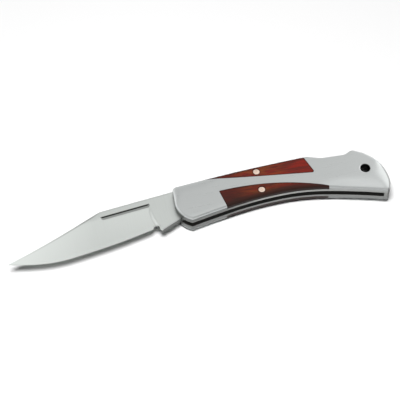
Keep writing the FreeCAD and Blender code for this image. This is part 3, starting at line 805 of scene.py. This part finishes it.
def ground_half(flat, edge, sizes):
    """Half thickness of the ground steel at points of the blade's own plan.

    Above the honed bevel the side runs from the bevel's shoulder to the top of the grind, sunk
    below the straight line by hollow x 4 t (1 - t). The bevel is a straight wedge up from the edge.
    Both fade into the full stock over the plunge, which bows along the blade's height.
    """
    u, v = flat.T
    order = np.argsort(edge.start[:, 0])
    below = np.interp(u, edge.start[order, 0], edge.start[order, 1]) + sizes.bevel_width
    t = np.clip((v - below) / (sizes.grind_height - below), 0, 1)
    full = HALF_STOCK - sizes.bevel_half
    side = sizes.bevel_half + full * t - sizes.hollow * 4 * t * (1 - t)
    slope = (sizes.bevel_half - sizes.edge_half) / sizes.bevel_width
    honed = sizes.edge_half + slope * to_outline(flat, edge)
    ground = np.minimum(side, honed)
    plunge = plunge_line(v, sizes)
    return HALF_STOCK + (ground - HALF_STOCK) * smoothstep(plunge, plunge - sizes.plunge_width, u)


def nick_depth(flat, sizes):
    """Depth of the nail nick: a slope that deepens upwards, a steep upper wall and sloping ends."""
    u, v = flat.T
    bottom = sizes.nick_top - sizes.nick_height
    floor = sizes.nick_height - sizes.nick_wall
    shares = [(v - bottom) / floor, (sizes.nick_top - v) / sizes.nick_wall,
              (u + sizes.nick_front) / sizes.nick_end, (-sizes.nick_rear - u) / sizes.nick_end]
    return sizes.nick_depth * np.clip(np.min(shares, axis=0), 0, 1)


def nick_creases(sizes):
    """The nick's border and the line where its slope meets its wall, in the frame."""
    front, rear = -sizes.nick_front, -sizes.nick_rear
    top, bottom = sizes.nick_top, sizes.nick_top - sizes.nick_height
    deep = top - sizes.nick_wall
    border = np.array([(front, bottom), (rear, bottom), (rear, top), (front, top), (front, bottom)])
    valley = np.array([(front + sizes.nick_end, deep), (rear - sizes.nick_end, deep)])
    return [from_blade_plan(along(line, sizes.edge_spacing * 2), sizes.tilt) for line in (border, valley)]


def along(corners, spacing):
    """Points along a broken line, each straight stretch cut evenly no longer than the spacing."""
    runs = [np.linspace(a, b, max(int(np.hypot(*(b - a)) / spacing), 1), endpoint=False)
            for a, b in zip(corners, corners[1:])]
    return np.vstack(runs + [corners[-1:]])


def blade_triangles(outline, sizes):
    """The blade's plan in triangles, finer over the plunge and along the border and the nick."""
    fine = from_blade_plan(plunge_points(sizes), sizes.tilt)
    fine = fine[within(fine, outline) & (to_outline(fine, outline) > FINE_CLEAR)]
    even = honeycomb(outline, sizes.spacing, GRID_CLEAR)
    loose = np.vstack([inner_rows(outline, BLADE_ROWS), even, fine])
    in_nick = nick_depth(blade_plan(loose, sizes.tilt), sizes) > 0
    return filled(outline, loose[~in_nick], nick_creases(sizes))


def painted_border_shade(to_border, to_edge, u):
    """A faint line of painted shade along the border, stronger towards the tip and none at the cutting edge.
    """
    line = 0.025 + 0.075 * smoothstep(-40.0 * MM, -46.0 * MM, u)
    return line * smoothstep(0.9 * MM, 0.5 * MM, to_border) * (to_edge > 1.0 * MM)


class KNIFE_OT_blade(bpy.types.Operator):
    """Satin clip-point blade: hollow ground both sides, bowed plunge, honed bevel and nail nick"""
    bl_idname = "knife.blade"
    bl_label = "Blade"

    def execute(self, context):
        sizes, finishes = context.scene.knife_blade, context.scene.knife_finishes
        outline = divided(section("blade", BLADE_CUT), sizes.edge_spacing)
        plan, triangles = blade_triangles(outline, sizes)
        flat = blade_plan(plan, sizes.tilt)
        edge = cutting_edge(outline, sizes)
        half, sunk = ground_half(flat, edge, sizes), nick_depth(flat, sizes)
        mesh = make_mesh("satin_blade", *closed_plate(plan, triangles, half - sunk, -half), sharp=22)
        # Painted shade: a faint dark line along the blade's border.
        border_shade = painted_border_shade(to_outline(plan, outline), to_outline(flat, edge), flat[:, 0])
        # Painted shade in the nail nick, growing with its depth, over the painted border line on both sides.
        record(mesh, "shade_share", np.concatenate([sunk / sizes.nick_depth + border_shade, border_shade]))
        steel = brushed_steel("satin_blade_steel", finishes.blade_steel, 0.36,
                              turn=-sizes.tilt, along=1500.0, across=60.0, strength=0.1, contrast=0.02)
        paint_recess_shade(steel, finishes.painted_shadow)
        paint_tip_light(steel, finishes.blade_steel)
        place("satin_blade", mesh, steel.material, "blade", "blade_steel", "blade")
        # Painted shade: every upright side of the blade, the choil and the kick among them, takes the side
        # shade.
        shade = tinted(finishes.blade_steel, finishes.side_shade)
        finish_sides(mesh, brushed_steel("blade_side_steel", shade, 0.42).material)
        return {"FINISHED"}


def paint_tip_light(finish, shade):
    """Paints light on the steel, brighter from 42 mm behind the tip towards the tip."""
    near = finish.ranged(finish.part_of_place("X"), BLADE_TIP, BLADE_TIP + 42 * MM, 1.0, 0.0)
    finish.turn_to(near, tinted(shade, 1.34))


# ---------------------------------------------------------------- pins
# Which ends of a bright pin are crowned, below and above. The others are flat and hidden.
BRIGHT_PINS = {"rocker_pin": (True, True), "left_belly_pin": (False, True),
               "right_belly_pin": (True, False)}
# Radii of the rings of a bright end, as shares of the pin's radius
END_RINGS = np.array([1.0, 0.97, 0.9, 0.8, 0.65, 0.5, 0.4, 0.3, 0.22, 0.14, 0.07, 0.0])


def turned_solid(node, profile, steps=64):
    """Closed solid of revolution on a CAD node's axis.

    The profile gives pairs of radius and height from the lower to the upper pole. Each inner
    profile point is swept round the axis into a ring, and the first and last points, on the axis,
    close the solid with fans of triangles.
    """
    box_low, box_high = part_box(node)
    centre = (box_low.x + box_high.x) / 2, (box_low.y + box_high.y) / 2
    profile = np.asarray(profile, float)
    angle = np.linspace(0, 2 * math.pi, steps, endpoint=False)
    radius, height = profile[1:-1].T
    x = centre[0] + radius[:, None] * np.cos(angle)
    y = centre[1] + radius[:, None] * np.sin(angle)
    z = np.broadcast_to(height[:, None], x.shape)
    rings = np.stack([x, y, z], 2).reshape(-1, 3)
    poles = np.array([(*centre, profile[0, 1]), (*centre, profile[-1, 1])])
    here = np.arange(steps)
    there = (here + 1) % steps
    row = np.arange(len(radius) - 1)[:, None] * steps
    quads = np.stack([row + here, row + there, row + there + steps, row + here + steps], 2).reshape(-1, 4)
    last = (len(radius) - 1) * steps
    low, high = len(rings), len(rings) + 1
    fans = np.vstack([np.column_stack([there, here, np.full(steps, low)]),
                      np.column_stack([last + here, last + there, np.full(steps, high)])])
    return np.vstack([rings, poles]), [quads, fans]


def pin_end(radius, height, sizes, crowned):
    """Profile of a pin's upper end, from the rim to the axis, flat or crowned with a dimple.

    The crown falls from the axis to the rim with the square of the radius, and the dimple is a
    bowl whose depth fades with the square of the radius too. It stays below the given height.
    """
    if not crowned:
        return np.array([(radius, height), (0, height)])
    r = radius * END_RINGS
    crown = height - sizes.dome * (r / radius) ** 2
    bowl = sizes.dimple_depth * np.clip(1 - (r / sizes.dimple_radius) ** 2, 0, 1)
    return np.stack([r, crown - bowl], 1)


class KNIFE_OT_pins(bpy.types.Operator):
    """Pale crowned pins through the wood, and steel pins peened over and ground away"""
    bl_idname = "knife.pins"
    bl_label = "Pins"

    def execute(self, context):
        sizes, finishes = context.scene.knife_pins, context.scene.knife_finishes
        pale = pale_metal(finishes.pin_metal)
        for node, (crowned_below, crowned_above) in BRIGHT_PINS.items():
            low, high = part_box(node)
            radius = (high.x - low.x) / 2
            lower = pin_end(radius, -low.z, sizes, crowned_below)[::-1] * np.array([1, -1])
            upper = pin_end(radius, high.z, sizes, crowned_above)
            mesh = make_mesh("pale_" + node, *turned_solid(node, np.vstack([lower, upper])), sharp=40)
            place("pale_" + node, mesh, pale, "handle", "pin_metal", node)
        steel = brushed_steel("pin_steel", finishes.liner_steel, 0.4).material
        for node in ("pivot_pin", "front_spacer_pin", "rear_spacer_pin"):
            low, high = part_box(node)
            radius, top = (high.x - low.x) / 2, high.z - sizes.cover
            profile = [(0, -top), (radius, -top), (radius, top), (0, top)]
            mesh = make_mesh("peened_" + node, *turned_solid(node, profile), sharp=40)
            place("peened_" + node, mesh, steel, "handle", node_slot(node), node)
        return {"FINISHED"}


def node_slot(node):
    """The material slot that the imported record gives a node."""
    return next(part["material_slot"] for part in frame["record"]["subparts"] if part["node"] == node)


def pale_metal(shade):
    """Pale metal of the handle pins, polished and slightly clouded."""
    finish = Finish("pale_pin_metal")
    cloud = finish.noise(finish.stretched((900.0, 900.0, 900.0)), 3.0)
    tone = finish.blended(finish.ranged(cloud, *CLOUDS, 0, 1), tinted(shade, 0.94), tinted(shade, 1.05))
    finish.shade({"Base Color": tone, "Metallic": 0.6,
                  "Roughness": finish.ranged(cloud, *STREAKS, 0.34, 0.44)})
    finish.bumped(cloud, 0.1, 0.01 * MM)
    return finish.material


# ---------------------------------------------------------------- inner works
def well_steel(name, shade, dark):
    """Liner steel, bright at its edges, with painted shade that turns the faces of the blade well black and a
    faint painted glow over them.

    The dark takes over where the place is nearer to the middle of the stack than the well's wall.
    """
    finish = shaded_side_steel(name, shade, tinted(shade, 0.35))
    depth = finish.maths("ABSOLUTE", finish.part_of_place("Z"))
    # Painted shade on the faces of the blade well.
    share = finish.ranged(depth, WELL_WALL + 0.01 * MM, WELL_WALL + 0.03 * MM, 1.0, 0.0)
    finish.turn_to(share, dark)
    # Painted glow: the shaded well faces give off a faint light of their own.
    finish.shade({"Emission Color": finish.blended(share, (0, 0, 0), tinted(dark, 0.2)),
                  "Emission Strength": 1.0})
    paint_bore_shadow(finish, dark)
    return finish.material


EASED, LOCK_EASED = 0.06 * MM, 0.12 * MM  # widths of the eased edges


class KNIFE_OT_works(bpy.types.Operator):
    """Liners, spacer, lock bar, spring and washers, with the liners, the spacer and the lock bar eased at
    their edges
    """
    bl_idname = "knife.works"
    bl_label = "Liners and Lock"

    def execute(self, context):
        finishes = context.scene.knife_finishes
        shade, dark = finishes.liner_steel, finishes.painted_shadow
        liner = well_steel("liner_steel", shade, dark)
        bronze = brushed_steel("washer_bronze", finishes.washer_bronze, 0.35).material
        for side in ("left", "right"):
            dress(side + "_liner", liner, EASED)
            dress(side + "_pivot_washer", bronze)
        dress("lock_bar", brushed_steel("lock_steel", shade, 0.36).material, LOCK_EASED)
        spacer = shaded_side_steel("spacer_steel", tinted(shade, 0.8), tinted(shade, 0.3))
        paint_bore_shadow(spacer, dark)
        dress("rear_spacer", spacer.material, EASED)
        dress("lock_spring", brushed_steel("spring_steel", tinted(shade, 0.7), 0.3).material)
        return {"FINISHED"}


# ---------------------------------------------------------------- studio
# Middle of each soft patch of the room, and the dot products with it between which it comes in
PATCHES = {"overhead": ((0.085, 0.30, 0.95), 0.965, 0.997), "left": ((-0.82, 0.55, 0.15), 0.58, 0.95),
           "right": ((0.76, 0.42, 0.42), 0.77, 0.93), "front": ((0.45, -0.85, 0.2), 0.72, 0.93)}
SHOULDER = 0.75  # height of a ray's direction at which the room has come down from the horizon


class KNIFE_OT_stage(bpy.types.Operator):
    """Plain pale floor, soft room light, a large lamp and the camera"""
    bl_idname = "knife.stage"
    bl_label = "Studio"

    def execute(self, context):
        studio = context.scene.knife_studio
        context.scene.view_settings.view_transform = "Standard"
        lay_floor(studio)
        light_room(studio)
        add_lamp(studio)
        add_camera(studio)
        return {"FINISHED"}


def lay_floor(studio):
    """Matt pale floor that keeps its shadows."""
    half = 2.0
    mesh = bpy.data.meshes.new("floor")
    mesh.from_pydata([(-half, -half, FLOOR), (half, -half, FLOOR), (half, half, FLOOR), (-half, half, FLOOR)],
                     [], [(0, 1, 2, 3)])
    floor = bpy.data.objects.new("floor", mesh)
    bpy.context.scene.collection.objects.link(floor)
    finish = Finish("white_floor")
    finish.shade({"Base Color": studio.floor, "Roughness": 1.0, "Specular IOR Level": 0.0})
    mesh.materials.append(finish.material)


def light_room(studio):
    """Soft room for the lens, glosses and glass, and a dim even fill for matt surfaces.

    The room's brightness runs from its value at the horizon to the one at its shoulder, and each
    patch adds its change as the dot product of the ray's direction and the patch's middle rises
    from its low to its high value.
    """
    world = bpy.data.worlds.new("soft_room")
    bpy.context.scene.world = world
    world.use_nodes = True
    room = Nodes(world.node_tree)
    ray = room.where("Generated")
    height = room.towards(ray, UP)
    bright = room.ranged(height, 0.0, SHOULDER, studio.horizon, studio.shoulder)
    for name, (middle, low, high) in PATCHES.items():
        change = room.ranged(room.towards(ray, middle), low, high, 0.0, getattr(studio, name))
        bright = room.maths("ADD", change, bright)
    path = room.add("ShaderNodeLightPath").outputs
    seen = room.maths("MAXIMUM", path["Is Camera Ray"], path["Is Glossy Ray"])
    seen = room.maths("MAXIMUM", seen, path["Is Transmission Ray"])
    strength = room.add("ShaderNodeMix", {0: seen, 2: studio.room_fill, 3: bright}).outputs[0]
    room.fill(room.tree.nodes["Background"], {"Color": (1.0, 1.0, 1.0), "Strength": strength})


def add_lamp(studio):
    """Large round lamp turned towards the aim, which no gloss shows."""
    lamp = bpy.data.lights.new("key", "AREA")
    lamp.shape, lamp.size, lamp.energy = "DISK", studio.key_size, studio.key_power
    holder = bpy.data.objects.new("key", lamp)
    offset = Vector(studio.key_from)
    turned = (-offset).to_track_quat("-Z", "Y").to_matrix().to_4x4()
    holder.matrix_world = Matrix.Translation(Vector(studio.aim) + offset) @ turned
    holder.visible_glossy = False
    bpy.context.scene.collection.objects.link(holder)


def add_camera(studio):
    """Camera turned about the upright axis and leant from straight down, looking at the aim."""
    right = Vector((math.cos(studio.turn), math.sin(studio.turn), 0.0))
    away = UP.cross(right)
    ahead = away * math.sin(studio.tilt) - UP * math.cos(studio.tilt)
    rotation = Matrix((right, right.cross(ahead), -ahead)).transposed().to_4x4()
    data = bpy.data.cameras.new("camera")
    data.lens, data.sensor_width, data.clip_start = studio.lens, 36.0, 0.01
    camera = bpy.data.objects.new("camera", data)
    camera.matrix_world = Matrix.Translation(Vector(studio.aim) - ahead * studio.distance) @ rotation
    bpy.context.scene.collection.objects.link(camera)
    bpy.context.scene.camera = camera


# ---------------------------------------------------------------- add-on
class KNIFE_PT_panel(bpy.types.Panel):
    """The knife's pieces, in the order in which they are made"""
    bl_idname = "KNIFE_PT_panel"
    bl_label = "Folding Knife"
    bl_space_type = "VIEW_3D"
    bl_region_type = "UI"
    bl_category = "Knife"

    def draw(self, context):
        for operator in OPERATORS:
            self.layout.operator(operator.bl_idname)
        for name in GROUPS:
            settings = getattr(context.scene, name)
            box = self.layout.box()
            for key in settings.__annotations__:
                box.prop(settings, key)


OPERATORS = (KNIFE_OT_frames, KNIFE_OT_inlays, KNIFE_OT_blade, KNIFE_OT_pins, KNIFE_OT_works, KNIFE_OT_stage)
GROUPS = {"knife_scales": KnifeScaleSizes, "knife_blade": KnifeBladeSizes, "knife_pins": KnifePinSizes,
          "knife_finishes": KnifeFinishes, "knife_studio": KnifeStudio}


def register():
    for group in GROUPS.values():
        bpy.utils.register_class(group)
    for name, group in GROUPS.items():
        setattr(bpy.types.Scene, name, PointerProperty(type=group))
    for item in OPERATORS + (KNIFE_PT_panel,):
        bpy.utils.register_class(item)


def unregister():
    for item in (KNIFE_PT_panel,) + OPERATORS[::-1]:
        bpy.utils.unregister_class(item)
    for name, group in reversed(GROUPS.items()):
        delattr(bpy.types.Scene, name)
        bpy.utils.unregister_class(group)


def main():
    register()
    for piece in ("frames", "inlays", "blade", "pins", "works", "stage"):
        getattr(bpy.ops.knife, piece)()


if __name__ == "__main__":
    main()
